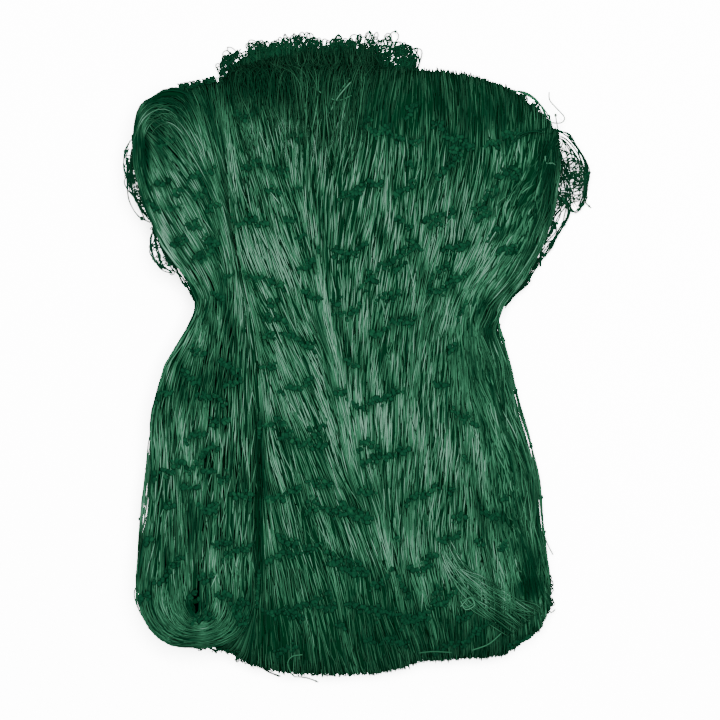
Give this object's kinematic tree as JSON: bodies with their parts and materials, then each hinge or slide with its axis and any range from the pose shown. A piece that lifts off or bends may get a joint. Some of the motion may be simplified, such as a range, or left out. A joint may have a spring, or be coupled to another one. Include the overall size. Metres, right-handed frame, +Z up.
{
  "type": "folded bird netting",
  "caption": "Knotted garden bird net, gathered into a broad hank and folded back and forth, with a drawn-in waist and its left margin turned up.",
  "frame": {"origin": "centre of the net's box, on the surface that it lies on", "axes": "+X to the right, +Y towards the head with the free fringe, +Z up from the surface"},
  "size_m": [0.1918, 0.2788, 0.0401],
  "materials": {
    "green_twine": "satin"
  },
  "bodies": {
    "root": {"folded_net": "green_twine"}
  },
  "joints": []
}
